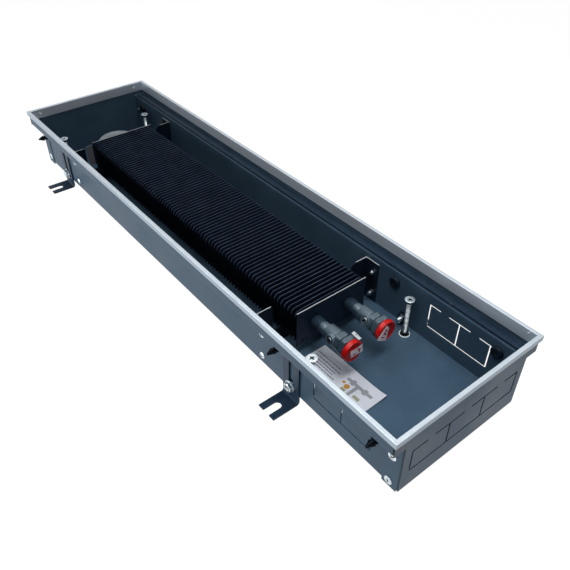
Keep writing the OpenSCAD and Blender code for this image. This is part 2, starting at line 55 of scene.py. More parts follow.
def hexColour(code):
    # sRGB to linear light: a straight line below 0.04045, a power of 2.4 above it
    srgb = np.array([int(code[i:i + 2], 16) for i in (1, 3, 5)]) / 255
    linear = np.where(srgb <= 0.04045, srgb / 12.92, ((srgb + 0.055) / 1.055) ** 2.4)
    return (*[float(v) for v in linear], 1.0)


def addNode(tree, kind, sockets=None, **settings):
    # Adds a node: a node or a socket is linked to the input, a hex code or a number is set there
    node = tree.nodes.new("ShaderNode" + kind)
    for name, value in settings.items():
        setattr(node, name, value)
    for name, value in (sockets or {}).items():
        value = value.outputs[0] if isinstance(value, bpy.types.Node) else value
        if isinstance(value, bpy.types.NodeSocket):
            tree.links.new(value, node.inputs[name])
        else:
            node.inputs[name].default_value = hexColour(value) if isinstance(value, str) else value
    return node


def addObject(name, data):
    # An object that shows the data, in the scene and at the origin
    item = bpy.data.objects.new(name, data)
    bpy.context.scene.collection.objects.link(item)
    return item


camera = bpy.data.cameras.new("camera")
camera.sensor_width = view["sensor"]
camera.lens = view["focalPixels"] / view["picture"] * view["sensor"]
camera.shift_x = view["shiftPixels"] / view["picture"]
camera.clip_start, camera.clip_end = 0.01, 50
cameraObject = addObject("camera", camera)
turn, tilt = math.radians(view["azimuth"]), math.radians(view["elevation"])
looking = Vector((-math.sin(turn) * math.cos(tilt), math.cos(turn) * math.cos(tilt), -math.sin(tilt)))
cameraObject.location = view["place"]
cameraObject.rotation_mode = "QUATERNION"
cameraObject.rotation_quaternion = looking.to_track_quat("-Z", "Y")
bpy.context.scene.camera = cameraObject
print("camera ready")


def startMaterial(name, **sockets):
    # A new material's tree, its shader with constant values set, and the object's own coordinates
    material = bpy.data.materials.new(name)
    material.use_nodes = True
    tree = material.node_tree
    shader = tree.nodes["Principled BSDF"]
    for socket, value in sockets.items():
        value = hexColour(value) if isinstance(value, str) else value
        shader.inputs[socket.replace("_", " ")].default_value = value
    coords = addNode(tree, "TexCoord").outputs["Object"]
    return material, tree, shader, coords


def clouded(tree, coords, sizeMm, deep, colour, low=0.3, high=0.7):
    # Two tones drift into each other in clouds of a real size; gives the tone and the clouds
    cloud = addNode(tree, "TexNoise", {"Vector": coords, "Scale": 1 / (sizeMm * mm), "Detail": 3.0})
    drift = addNode(tree, "MapRange", {"Value": cloud, "From Min": low, "From Max": high})
    return addNode(tree, "Mix", {0: drift, 6: deep, 7: colour}, data_type="RGBA").outputs[2], cloud


def finishShader(tree, shader, tone, pattern, rough, grain=None, highMm=0.0, strength=0.0):
    # Links the tone, a roughness that a pattern moves between two values, and a grain's bump
    tree.links.new(tone, shader.inputs["Base Color"])
    if pattern is not None:
        satin = addNode(tree, "MapRange", {"Value": pattern, "From Min": 0.3, "From Max": 0.7,
                                           "To Min": rough[0], "To Max": rough[1]})
        tree.links.new(satin.outputs[0], shader.inputs["Roughness"])
    if grain is not None:
        bump = addNode(tree, "Bump", {"Height": grain, "Distance": highMm * mm, "Strength": strength})
        tree.links.new(bump.outputs[0], shader.inputs["Normal"])


def powderCoat(name, look):
    # Polyester powder coat baked on steel sheet: it gives the eye an even satin skin with a fine
    # orange peel, about 1 mm from crest to crest, and a little pale dust on what faces up. Where a
    # look sets it, what faces up is also lightened evenly, as painted light on the tops
    material, tree, shader, coords = startMaterial(name, IOR=1.5, Specular_IOR_Level=look["gloss"],
                                                   Specular_Tint=look["sheen"])
    paint, cloud = clouded(tree, coords, look["cloudMm"], look["deep"], look["colour"], 0.35, 0.65)
    facing = addNode(tree, "SeparateXYZ", {0: addNode(tree, "NewGeometry").outputs["Normal"]}).outputs
    place = addNode(tree, "SeparateXYZ", {0: coords}).outputs
    lies = addNode(tree, "MapRange", {"Value": facing[2], "From Min": 0.5, "From Max": 0.95})
    grit = addNode(tree, "TexNoise", {"Vector": coords, "Scale": 1 / (look["gritMm"] * mm), "Detail": 4.0})
    specksAndLitTop = addNode(tree, "MapRange", {"Value": grit, "From Min": 0.62, "From Max": 0.72,
                                        "To Min": look["paintedLitTop"], "To Max": look["paintedLitTop"] + look["dustAmount"]})
    # pale dust specks on what faces up, and there, as far as the look sets it, an even painted light
    layers = [(addNode(tree, "Math", {0: lies, 1: specksAndLitTop}, operation="MULTIPLY"), look["dustAndLitTop"])]
    if "cutAxis" in look:  # painted shade: the sheet's cut edges, inside its slots too, are painted near black, as the shade seen through the slots
        axis = look["cutAxis"]
        edgeOn = addNode(tree, "Math", {0: facing[axis]}, operation="ABSOLUTE")
        across = addNode(tree, "Math", {0: edgeOn, 1: 0.5}, operation="LESS_THAN")
        depth = addNode(tree, "Math", {0: place[axis]}, operation="ABSOLUTE")
        within = addNode(tree, "Math", {0: depth, 1: look["cutMid"] * mm, 2: look["cutHalf"] * mm},
                         operation="COMPARE")
        layers.append((addNode(tree, "Math", {0: across, 1: within}, operation="MULTIPLY"), look["cutShade"]))
    if "lightAbove" in look:  # the top edge is light grey
        edge = addNode(tree, "MapRange", {"Value": place[2], "From Min": look["lightAbove"] * mm,
                                          "From Max": (look["lightAbove"] + 0.05) * mm})
        layers.append((edge, look["lightEdge"]))
    if "lighterBefore" in look:  # the plate is lighter grey on its front side, past the given Y
        lighterFront = addNode(tree, "MapRange", {"Value": place[1], "From Min": look["lighterBefore"] * mm,
                                         "From Max": (look["lighterBefore"] - 0.4) * mm})
        layers.append((lighterFront, look["frontColour"]))
    for mask, colour in layers:
        paint = addNode(tree, "Mix", {0: mask, 6: paint, 7: colour}, data_type="RGBA").outputs[2]
    peel = addNode(tree, "TexNoise", {"Vector": coords, "Scale": 1 / (look["peelMm"] * mm), "Detail": 3.0})
    swing = (look["rough"] - 0.06, look["rough"] + 0.06)
    finishShader(tree, shader, paint, cloud, swing, peel, highMm=0.05, strength=look["peel"])
    return material


def anodised(name, look, stretch, across, lip):
    # Natural anodised aluminium extrusion: pale satin metal with die lines 0.5 mm apart that run
    # the whole length. The upright faces carry painted shade and light: the outer lip is darker than
    # the top, as painted shade, and the inner leg a little lighter than the top, as painted light
    material, tree, shader, coords = startMaterial(name, Metallic=look["metallic"])
    scale = [1 / (s * look["lineMm"] * mm) for s in stretch]
    drawn = addNode(tree, "Mapping", {"Vector": coords, "Scale": scale})
    lines = addNode(tree, "TexNoise", {"Vector": drawn, "Scale": 1.0, "Detail": 2.0})
    metal = clouded(tree, coords, look["cloudMm"], look["deep"], look["colour"])[0]
    upward = addNode(tree, "SeparateXYZ", {0: addNode(tree, "NewGeometry").outputs["Normal"]}).outputs[2]
    uprightShading = addNode(tree, "MapRange", {"Value": upward, "From Min": 0.75, "From Max": 0.25})
    place = addNode(tree, "SeparateXYZ", {0: coords}).outputs[across]
    place = addNode(tree, "Math", {0: place}, operation="ABSOLUTE")
    outer = addNode(tree, "MapRange", {"Value": place, "From Min": (lip - 1) * mm, "From Max": lip * mm})
    sides = addNode(tree, "Mix", {0: outer, 6: look["leg"], 7: look["side"]}, data_type="RGBA").outputs[2]
    metal = addNode(tree, "Mix", {0: uprightShading, 6: metal, 7: sides}, data_type="RGBA").outputs[2]
    finishShader(tree, shader, metal, lines, look["rough"], lines, highMm=0.02, strength=0.5)
    return material


def moulded(name, look):
    # Injection-moulded plastic or extruded rubber: even colour, soft sheen, faint flow marks
    material, tree, shader, coords = startMaterial(name, IOR=1.5, Specular_IOR_Level=look["gloss"],
                                                   Specular_Tint=look["sheen"])
    tone, flow = clouded(tree, coords, look["flowMm"], look["deep"], look["colour"])
    if "scuff" in look:  # pale rubbed marks, drawn out along X
        scale = [1 / (s * look["scuffMm"] * mm) for s in (6, 1, 1)]
        drawn = addNode(tree, "Mapping", {"Vector": coords, "Scale": scale})
        marks = addNode(tree, "TexNoise", {"Vector": drawn, "Scale": 1.0, "Detail": 3.0})
        rubbed = addNode(tree, "MapRange", {"Value": marks, "From Min": 0.62, "From Max": 0.76,
                                            "To Max": 0.45})
        tone = addNode(tree, "Mix", {0: rubbed, 6: tone, 7: look["scuff"]}, data_type="RGBA").outputs[2]
    grain = addNode(tree, "TexNoise", {"Vector": coords, "Scale": 1 / (look["grainMm"] * mm), "Detail": 2.0})
    swing = (look["rough"] - 0.05, look["rough"] + 0.07)
    finishShader(tree, shader, tone, flow, swing, grain, highMm=0.04, strength=look["grain"])
    return material


def platedSteel(name, look):
    # Plated steel: bright, with faint clouds from the bath about 5 mm wide and fine scratches.
    # The mesh's own shade value mixes in the dark colour: painted shade in recesses and along threads,
    # and other darker bands that a mesh sets
    material, tree, shader, coords = startMaterial(name, Metallic=1.0)
    tone = clouded(tree, coords, plating["cloudMm"], look["tint"], look["colour"], 0.35, 0.65)[0]
    # painted shade in recesses and on threads, from the mesh's shade value
    shade = addNode(tree, "Attribute", attribute_name="shade").outputs["Fac"]
    tone = addNode(tree, "Mix", {0: shade, 6: tone, 7: look["dark"]}, data_type="RGBA").outputs[2]
    scale = 1 / (plating["scratchMm"] * mm)
    fine = addNode(tree, "TexNoise", {"Vector": coords, "Scale": scale, "Detail": 3.0})
    swing = (look["rough"] - 0.08, look["rough"] + 0.12)
    finishShader(tree, shader, tone, fine, swing, fine, highMm=0.02, strength=0.4)
    return material


def coatedFin(name, look):
    # Thin aluminium fin dipped in black, with a fine slate line along its top that the mesh's own shade
    # value fades down the face: partly the metal showing through the thin coat at the cut edge, partly a
    # painted highlight where light catches the fin tops
    material, tree, shader, coords = startMaterial(name, Specular_IOR_Level=look["gloss"])
    black, cloud = clouded(tree, coords, look["cloudMm"], look["deep"], look["colour"])
    slate = clouded(tree, coords, look["cloudMm"], look["edgeDeep"], look["edge"])[0]
    lightEdge = addNode(tree, "Attribute", attribute_name="shade").outputs["Fac"]
    tone = addNode(tree, "Mix", {0: lightEdge, 6: black, 7: slate}, data_type="RGBA").outputs[2]
    finishShader(tree, shader, tone, cloud, look["rough"])
    return material


def paper(name, colour, deep):
    # Smooth printed paper: matt, with a faint fibre 0.6 mm long and soft dents 6 mm wide
    material, tree, shader, coords = startMaterial(name, Roughness=0.55, IOR=1.45, Specular_IOR_Level=0.3)
    tone = clouded(tree, coords, stock["fibreMm"], deep, colour)[0]
    dents = addNode(tree, "TexNoise", {"Vector": coords, "Scale": 1 / (stock["dentMm"] * mm), "Detail": 2.0})
    finishShader(tree, shader, tone, None, None, dents, highMm=0.2, strength=0.25)
    return material


plating = {"cloudMm": 5, "scratchMm": 0.5}
stock = {"fibreMm": 0.6, "dentMm": 6}
sheetLook = {"colour": "#445a6c", "deep": "#3d5265", "sheen": "#86a6c8", "gloss": 0.32, "cloudMm": 60,
             "dustAndLitTop": "#8a98a6", "dustAmount": 0.12, "paintedLitTop": 0.0, "gritMm": 2.4, "rough": 0.46,
             "peelMm": 1.1, "peel": 0.35}
# the cut colour is painted shade on the sheet's cut edges and in the slots
casingLook = {**sheetLook, "cutAxis": 1, "cutMid": 106.6, "cutHalf": 0.75, "cutShade": "#05080c"}
endLook = {**sheetLook, "cutAxis": 0, "cutMid": 499.4, "cutHalf": 0.75, "cutShade": "#05080c"}
bracketLook = {**sheetLook, "colour": "#1b2937", "deep": "#15212d", "dustAmount": 0.10,
               "cloudMm": 18, "rough": 0.42}
footLook = {**bracketLook, "colour": "#2a3c4f", "deep": "#223244", "dustAmount": 0.06, "rough": 0.44}
plateLook = {**bracketLook, "colour": "#1a2636", "deep": "#141f2d", "lightAbove": 91.95, "lightEdge": "#b3b6ba"}
farPlateLook = {**plateLook, "lighterBefore": -64.0, "frontColour": "#6a6a72"}
holderLook = {**bracketLook, "colour": "#141f2b", "deep": "#0f1821", "lightAbove": 85.95, "lightEdge": "#b3b8bc"}
sleeveLook = {**bracketLook, "colour": "#22303c", "deep": "#1b2731", "cloudMm": 9, "rough": 0.5}
bendLook = {**sheetLook, "colour": "#a3abb3", "deep": "#959da6", "sheen": "#ffffff", "gloss": 0.4,
            "cloudMm": 14}
# the fitting's upward faces take an even painted light as well as dust specks
fittingLook = {**sheetLook, "colour": "#2f3f4c", "deep": "#263540", "sheen": "#c9d9e5", "gloss": 1.0,
               "dustAndLitTop": "#93a7b1", "dustAmount": 0.18, "paintedLitTop": 0.14, "cloudMm": 9, "rough": 0.34,
               "peelMm": 0.8}
# painted highlight: the vent port is a lighter grey than the fitting, for the light on its ring edges
portLook = {**fittingLook, "colour": "#53646f", "deep": "#475863", "paintedLitTop": 0.06}
# side is painted shade on the outer lip, leg painted light on the inner leg
rimLook = {"colour": "#c9d3dc", "deep": "#bcc8d2", "side": "#9dabb9", "leg": "#cfd9e2", "lineMm": 0.5,
           "cloudMm": 25, "metallic": 0.65, "rough": (0.3, 0.42)}
# the end rims' outer lip takes deeper painted shade
endRimLook = {**rimLook, "side": "#8592a0"}

zincLook = {"colour": "#dfe7eb", "tint": "#aab8c1", "dark": "#18222a", "rough": 0.3}
mattZincLook = {**zincLook, "colour": "#f2f6f8", "tint": "#dde4e8", "rough": 0.62}
darkZincLook = {"colour": "#4a525a", "tint": "#3c444c", "dark": "#0c1014", "rough": 0.36}
ventLook = {"colour": "#93a0a9", "tint": "#76848e", "dark": "#10161b", "rough": 0.34}
capLook = {"colour": "#d00c08", "deep": "#bb0806", "flowMm": 8, "rough": 0.36, "grainMm": 0.9, "grain": 0.3,
           "gloss": 0.3, "sheen": "#ffffff"}
stripLook = {**capLook, "colour": "#202e3d", "deep": "#182532", "flowMm": 30, "rough": 0.42, "grainMm": 1.0,
             "sheen": "#7f9fc6", "scuffMm": 1.6, "scuff": "#5d6b78"}
plugLook = {**capLook, "colour": "#101820", "deep": "#0b1118", "flowMm": 6, "rough": 0.45, "grainMm": 0.8,
            "grain": 0.4, "sheen": "#9fb4cc"}
finLook = {"colour": "#040814", "deep": "#03060f", "edge": "#5c7088", "edgeDeep": "#455a74", "gloss": 0.12,
           "cloudMm": 30, "rough": (0.5, 0.7)}

materials = {
    "casing": powderCoat("slatePowderCoat", casingLook),
    "endPlate": powderCoat("slatePowderCoatOnEndPlate", endLook),
    "bracket": powderCoat("blueBlackPowderCoat", footLook),
    "plate": powderCoat("blackCoatedPlateWithLightEdge", plateLook),
    "farPlate": powderCoat("blackCoatedPlateWithLighterFront", farPlateLook),
    "holder": powderCoat("blackCoatedHolderWithLightEdge", holderLook),
    "sleeve": powderCoat("blackCoatedSleeve", sleeveLook),
    "bend": powderCoat("greyCoatedCopper", bendLook),
    "fitting": powderCoat("greyCoatedBrass", fittingLook),
    "ventPort": powderCoat("greyCoatedBrassWithPaintedHighlight", portLook),
    "rimAlongX": anodised("anodisedAluminiumAlongX", rimLook, stretch=(400, 1, 1), across=1, lip=126),
    "rimAlongY": anodised("anodisedAluminiumAlongY", endRimLook, stretch=(1, 400, 1), across=0, lip=501),
    "strip": moulded("blackRubber", stripLook),
    "plug": moulded("blackNylon", plugLook),
    "cap": moulded("redPolyethylene", capLook),
    "zinc": platedSteel("brightZincPlate", zincLook),
    "mattZinc": platedSteel("mattZincPlate", mattZincLook),
    "darkZinc": platedSteel("darkZincPlate", darkZincLook),
    "vent": platedSteel("wornNickelPlate", ventLook),
    "fins": coatedFin("blackCoatedFins", finLook),
    "sheetPaper": paper("printedSheetPaper", "#cdd2dc", "#c3c8d3"),
    "tagPaper": paper("paperTag", "#fdf3f4", "#f6e4e7"),
    "tagBack": paper("paperTagBack", "#cfd4d8", "#c2c8cc"),
    "inkDark": paper("darkPrintInk", "#3c4149", "#30353c"),
    "inkGrey": paper("greyPrintInk", "#8f949b", "#858a91"),
    "inkAmber": paper("amberPrintInk", "#b98a3e", "#a8762c"),
    "inkOlive": paper("olivePrintInk", "#96967f", "#8a8a72"),
    "inkRed": paper("redPrintInk", "#c23a50", "#b02c42"),
}
print("materials:", len(materials))

levelBolts = [node for node in sorted(nodes) if node.startswith("level_bolt")]
finishes = {
    "casing": ["casing"], "endPlate": ["end_plate_valve", "end_plate_far"], "fins": ["fins"],
    "rimAlongX": ["rim_front", "rim_back"], "rimAlongY": ["rim_valve_end", "rim_far_end"],
    "strip": ["rest_strip_front", "rest_strip_back"], "bend": ["water_tubes", "return_bend"],
    "plate": ["hx_plate_valve"], "farPlate": ["hx_plate_far"], "plug": ["wall_plugs"],
    "holder": ["holder_valve_front", "holder_valve_back", "holder_far_front", "holder_far_back"],
    "sleeve": ["sleeve_supply", "sleeve_return"], "fitting": ["fitting_supply", "fitting_return"],
    "vent": ["bleed_screw_supply", "bleed_screw_return"], "cap": ["cap_supply", "cap_return"],
    "bracket": ["foot_valve_front", "foot_valve_back", "foot_far_front", "foot_far_back"],
    "zinc": [*levelBolts, "level_inserts", "holder_screws", "holder_nuts", "end_screws", "foot_bolts",
             "foot_washers"],
    "darkZinc": ["foot_nuts"], "sheetPaper": ["floor_label"],
}
for finish, named in finishes.items():
    for node in named:
        nodes[node].data.materials.clear()
        nodes[node].data.materials.append(materials[finish])


def gridPart(points, wrap=False):
    # points[i, j] is a surface over two parameters in mm; wrap joins the last j to the first
    rows, columns = points.shape[:2]
    i = np.arange(rows - 1)[:, None] * columns
    j = np.arange(columns if wrap else columns - 1)[None, :]
    k = (j + 1) % columns
    faces = np.stack([i + j, i + k, i + columns + k, i + columns + j], axis=-1).reshape(-1, 4)
    return points.reshape(-1, 3) * mm, faces


def outline(grid):
    # The points on the border of a grid, once round
    return np.concatenate([grid[:, 0], grid[-1, 1:-1], grid[::-1, -1], grid[0, -2:0:-1]])


def shell(front, back):
    # Two faces over one grid, closed by a strip along their outline
    return [gridPart(front), gridPart(back), gridPart(np.stack([outline(front), outline(back)]), True)]


def makePiece(name, parts, material, body=root, sharp=35, shade=None):
    # Joins the grids, closes poles and seams and turns the faces outwards. A shade is one value or
    # one array for each grid
    points = np.concatenate([p for p, f in parts])
    starts = np.cumsum([0] + [len(p) for p, f in parts[:-1]])
    faces = np.concatenate([f + s for (p, f), s in zip(parts, starts)])
    mesh = bpy.data.meshes.new(name)
    mesh.from_pydata(points.tolist(), [], faces.tolist())
    if shade is not None:
        values = [np.broadcast_to(np.asarray(v, np.float32).ravel(), len(part[0]))
                  for part, v in zip(parts, shade)]
        mesh.attributes.new("shade", "FLOAT", "POINT").data.foreach_set("value", np.concatenate(values))
    work = bmesh.new()
    work.from_mesh(mesh)
    bmesh.ops.remove_doubles(work, verts=work.verts, dist=0.000002)
    bmesh.ops.recalc_face_normals(work, faces=work.faces)
    work.to_mesh(mesh)
    work.free()
    mesh.shade_smooth()
    mesh.set_sharp_from_angle(angle=math.radians(sharp))
    mesh.materials.append(materials[material])
    piece = addObject(name, mesh)
    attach(piece, body)
    return piece


def polar(radius, angle, height):
    # Points from a radius, an angle round Z and a height
    return np.stack(np.broadcast_arrays(radius * np.cos(angle), radius * np.sin(angle), height), -1)


def turned(profile, segments=48):
    # A turned shape: each (radius, height) of the profile goes once round the Z axis
    radius, height = np.array(profile, float).T
    angle = np.arange(segments) * 2 * np.pi / segments
    return polar(radius[:, None], angle, height[:, None])


def hexTurned(rows, segments=96):
    # Rows are (half width over the flats, largest radius, height), or (radius, height) where it is
    # round. The radius at an angle is that of a hexagon with flats at 0, 60, 120 degrees, or the
    # largest radius where that is less
    half, limit, height = np.array([(row[0], *row[-2:]) for row in rows], float).T
    angle = np.arange(segments) * 2 * np.pi / segments
    toFlat = np.cos((angle + np.pi / 6) % (np.pi / 3) - np.pi / 6)
    return polar(np.minimum(half[:, None] / toFlat, limit[:, None]), angle, height[:, None])


def threaded(radius, pitch, low, high, depth, segments=18, perTurn=7):
    # Screw thread: the radius falls by a triangle wave that moves on one pitch in each turn
    height = np.linspace(low, high, int((high - low) / pitch * perTurn))[:, None]
    angle = (np.arange(segments) * 2 * np.pi / segments)[None]
    wave = np.abs((height / pitch - angle / (2 * np.pi)) % 1 - 0.5) * 2
    fade = np.clip(np.minimum(height - low, high - height) / pitch, 0, 1)
    return polar(radius - depth * wave * fade, angle, height)


def recessedFace(radius, top, look, arms, segments=72):
    # Flat face over radius and angle; the recess is the deeper of one or two grooves, whose sides
    # slope over 0.12 mm each way and whose ends slope further
    r = (np.linspace(1, 0, look["rings"]) ** 0.8 * radius)[:, None]
    angle = (np.arange(segments) * 2 * np.pi / segments)[None]
    x, y = r * np.cos(angle), r * np.sin(angle)

    def groove(u, v):
        slope = 0.12
        wall = np.clip((look["armHalf"] + slope - np.abs(v)) / (2 * slope), 0, 1)
        return wall * np.clip((look["armLong"] - np.abs(u)) / look["armSlope"], 0, 1)
    deep = groove(x, y) if arms == 1 else np.maximum(groove(x, y), groove(y, x))
    return np.stack([x, y, top - deep * look["recess"]], -1)


def placed(points, origin, axis=(0, 0, 1), spin=0.0):
    # Turns a piece drawn along +Z so that it points along an axis, then moves it; all in mm
    w = np.array(axis, float) / np.linalg.norm(axis)
    u = np.cross((0, 1, 0) if abs(w[2]) > 0.9 else (0, 0, 1), w)
    u /= np.linalg.norm(u)
    v = np.cross(w, u)
    c, s = math.cos(math.radians(spin)), math.sin(math.radians(spin))
    x, y = points[..., 0] * c - points[..., 1] * s, points[..., 0] * s + points[..., 1] * c
    return x[..., None] * u + y[..., None] * v + points[..., 2, None] * w + np.array(origin, float)


def ringPart(points, *place):
    # A surface that closes round its axis, put in its place
    return gridPart(placed(points, *place), True)


def middleOf(node):
    # Middle and low corner of a CAD node's box, in mm
    low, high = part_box(node)
    return [(a + b) / 2 / mm for a, b in zip(low, high)], [a / mm for a in low]


# In the profiles below, what is added to or taken from a measure is a chamfer or a rounding, in mm
hexShare = math.cos(math.pi / 6)  # half a hexagon's width over its flats, for a corner radius of 1

levelBolt = {"radius": 4.0, "length": 80.0, "headRadius": 7.3, "headHeight": 4.4, "pitch": 1.25,
             "depth": 0.62, "tip": 0.7, "cone": 1.5, "bevel": 0.3, "armLong": 3.9, "armHalf": 0.8,
             "armSlope": 1.3, "recess": 2.8, "rings": 22, "threadShade": 0.24, "threadShadeTop": 0.5, "threadShadeFrom": 14,
             "threadShadeOver": 8, "threadShadeWave": 0.15, "shade": 1.6}


def makeLevelBolt(node):
    # Countersunk bolt with a cross recess: tip, thread, cone under the head, face. The thread takes
    # painted shade that grows towards the head, in two slow sine waves, and the recess painted shade too
    middle, low = middleOf(node)
    b = levelBolt
    r, length, headStart = b["radius"], b["length"], b["length"] - b["headHeight"]
    rim, neck = b["headRadius"], headStart - b["cone"]
    tip = turned([(0, 0), (r - 1.2, 0), (r - 0.6, b["tip"])], 18)
    shaft = threaded(r, b["pitch"], b["tip"], neck, b["depth"])
    under = turned([(r, neck), (r, headStart), (rim, length - 0.9), (rim, length - 0.2),
                    (rim - b["bevel"], length)], 72)
    face = recessedFace(rim - b["bevel"], length, b, 2)
    height = shaft[..., 2]
    # painted shade down the thread, strongest under the head
    darkening = b["threadShade"] + b["threadShadeTop"] * np.clip((height - headStart + b["threadShadeFrom"]) / b["threadShadeOver"], 0, 1)
    darkening = darkening + b["threadShadeWave"] * np.sin(height * 0.9) * np.sin(height * 0.23)
    deep = np.clip((length - face[..., 2]) / b["recess"] * b["shade"], 0, 1)
    parts = [ringPart(p, (*middle[:2], low[2])) for p in (tip, shaft, under, face)]
    piece = makePiece("threaded_" + node, parts, "zinc", node + "_body", sharp=40,
                      shade=[0.4, darkening, 0.1, deep])
    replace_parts(piece, node)


for node in levelBolts:
    makeLevelBolt(node)
print("levelling bolts made")

insert = {"bore": 4.05, "collar": 5.4, "low": 8.0, "top": 19.2, "flange": 8.4, "flangeLow": 13.2,
          "flangeTop": 14.2, "grooveEdge": 7.0, "groove": 0.2}


def makeInserts():
    # Threaded inserts in the floor: a dark collar through it and a bright flange that lies on it,
    # darker next to the collar
    g = insert
    bore, r, low, high, out = g["bore"], g["collar"], g["low"], g["top"], g["flange"]
    under, top = g["flangeLow"], g["flangeTop"]
    collar = [(bore, low), (r - 0.4, low), (r, low + 0.4), (r, high - 0.5), (r - 0.5, high),
              (bore + 0.4, high), (bore, high - 0.4), (bore, low)]
    flange = [(r - 0.1, under), (out, under), (out, top - 0.3), (out - 0.3, top), (g["grooveEdge"], top),
              (g["grooveEdge"] - 0.3, top - g["groove"]), (r - 0.1, top - g["groove"]), (r - 0.1, under)]
    places = [middleOf(node)[0][:2] for node in levelBolts]
    shapes = {"insertCollars": (collar, "darkZinc"), "insertFlanges": (flange, "mattZinc")}
    for name, (profile, finish) in shapes.items():
        grid = turned(profile)
        radius = np.hypot(grid[..., 0], grid[..., 1])
        darkening = np.where((radius < g["grooveEdge"] - 0.1) & (radius > r - 0.2), 1.0, 0.0)
        parts = [ringPart(grid, (*place, 0)) for place in places]
        piece = makePiece(name, parts, finish, sharp=30, shade=[darkening] * len(parts))
        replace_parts(piece, "level_inserts")


makeInserts()
print("inserts made")

footBolt = {"radius": 4.0, "halfFlat": 6.5, "head": 5.3, "pitch": 1.25, "depth": 0.6, "neck": 2.0,
            "z": 25.0, "outer": 110.7, "inner": 91.8, "places": (308.0, -397.0)}
footNut = {"halfFlat": 6.5, "height": 6.5, "flange": 9.0, "flangeHeight": 1.4, "seat": 104.8, "bore": 4.1}


def makeFootBolts():
    # Hexagon bolts: a washer face, flats with turned corners, a dished top, a plain neck and a thread.
    # Each head is turned to an angle of its own
    b = footBolt
    half, corner, high = b["halfFlat"], b["halfFlat"] / hexShare, b["head"]
    head = hexTurned([(half * 0.97, 0), (half * 0.97, 0.35), (half, corner, 0.35), (half, corner, high - 1.2),
                      (half, corner - 0.35, high - 0.7), (half, half * 0.96, high - 0.1), (half * 0.92, high),
                      (half * 0.6, high), (half * 0.5, high - 0.3), (0, high - 0.3)])
    r, reach, neckLong = b["radius"], b["outer"] - b["inner"], b["neck"]
    end = turned([(0, -reach), (r - 0.8, -reach), (r - 0.5, -reach + 0.6)], 18)
    thread = threaded(r, b["pitch"], -reach + 0.6, -neckLong, b["depth"])
    neck = turned([(r, -neckLong), (r, 0)], 18)
    parts = []
    for x in b["places"]:
        for side in (-1, 1):
            seat, out = (x, side * b["outer"], b["z"]), (0, side, 0)
            parts += [ringPart(p, seat, out, 12 * side + x) for p in (head, end, thread, neck)]
    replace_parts(makePiece("hexBolts", parts, "zinc", sharp=25), "foot_bolts")


def makeFootNuts():
    # Flanged hexagon nuts: the flange slopes up to the flats, the bore is open
    n = footNut
    half, corner, high, bore = n["halfFlat"], n["halfFlat"] / hexShare, n["height"], n["bore"]
    nut = hexTurned([(bore, 0), (n["flange"], 0), (n["flange"], 0.6), (half + 0.9, n["flangeHeight"]),
                     (half, corner, n["flangeHeight"] + 0.3), (half, corner, high - 1),
                     (half, half * 0.97, high), (bore + 0.6, high), (bore, high - 0.6), (bore, 0)])
    parts = [ringPart(nut, (x, side * n["seat"], footBolt["z"]), (0, -side, 0), 20)
             for x in footBolt["places"] for side in (-1, 1)]
    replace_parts(makePiece("flangedNuts", parts, "darkZinc", sharp=25), "foot_nuts")


makeFootBolts()
makeFootNuts()
print("foot bolts and nuts made")

panScrews = {
    "holder_screws": {"radius": 5.2, "high": 2.4, "shaft": 2.0, "long": 9.0, "seat": 106.0, "edge": 0.75,
                      "dome": 2.4},
    "end_screws": {"radius": 6.0, "high": 1.7, "shaft": 2.1, "long": 8.0, "seat": 107.2, "edge": 0.75,
                   "dome": 2.4},
}
crossRecess = {"armLong": 2.9, "armHalf": 0.65, "armSlope": 1.0, "recess": 1.3, "rings": 20, "shade": 1.6}
holderNut = {"halfFlat": 3.5, "high": 3.2, "bore": 2.05}


def screwPlaces(node, apart=9, reach=14):
    # The screws of a node stand where its CAD solids do: the middles of its groups of near points,
    # which are more than apart from each other and within reach of their first point
    points = np.array([v.co for v in nodes[node].data.vertices]) / mm
    found = []
    for point in points:
        away = [np.hypot(point[0] - x, point[2] - z) > apart or point[1] * side < 0 for x, z, side in found]
        if all(away):
            far = np.hypot(points[:, 0] - point[0], points[:, 2] - point[2])
            near = points[(far < reach) & (points[:, 1] * point[1] > 0)]
            low, high = near.min(0), near.max(0)
            found.append(((low[0] + high[0]) / 2, (low[2] + high[2]) / 2, np.sign(point[1])))
    return found


def makePanScrews(node):
    # Pan heads: the height falls by a power of the way to the edge, with a cross recess in painted
    # shade; plain shafts, darker at their ends
    s = panScrews[node]
    r, shaft, long, low = s["radius"], s["shaft"], s["long"], s["edge"]
    parts, shade = [], []
    for x, z, side in screwPlaces(node):
        edge = turned([(shaft, -long), (shaft, 0), (r - 0.1, 0), (r, 0.25), (r, 0.5), (r - 0.15, low)], 60)
        face = recessedFace(r - 0.15, 0, crossRecess, 2, 60)
        reach = np.hypot(face[..., 0], face[..., 1]) / (r - 0.15)
        deep = np.clip(-face[..., 2] / crossRecess["recess"] * crossRecess["shade"], 0, 1)
        face[..., 2] += low + (s["high"] - low) * (1 - reach ** s["dome"])
        end = turned([(0, -long), (shaft, -long)], 24)
        for part, dark in ((edge, 0.05), (face, deep), (end, 0.3)):
            parts.append(ringPart(part, (x, side * s["seat"], z), (0, side, 0), x * 7 + z))
            shade.append(dark)
    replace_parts(makePiece("crossHead_" + node, parts, "zinc", sharp=40, shade=shade), node)


for node in panScrews:
    makePanScrews(node)


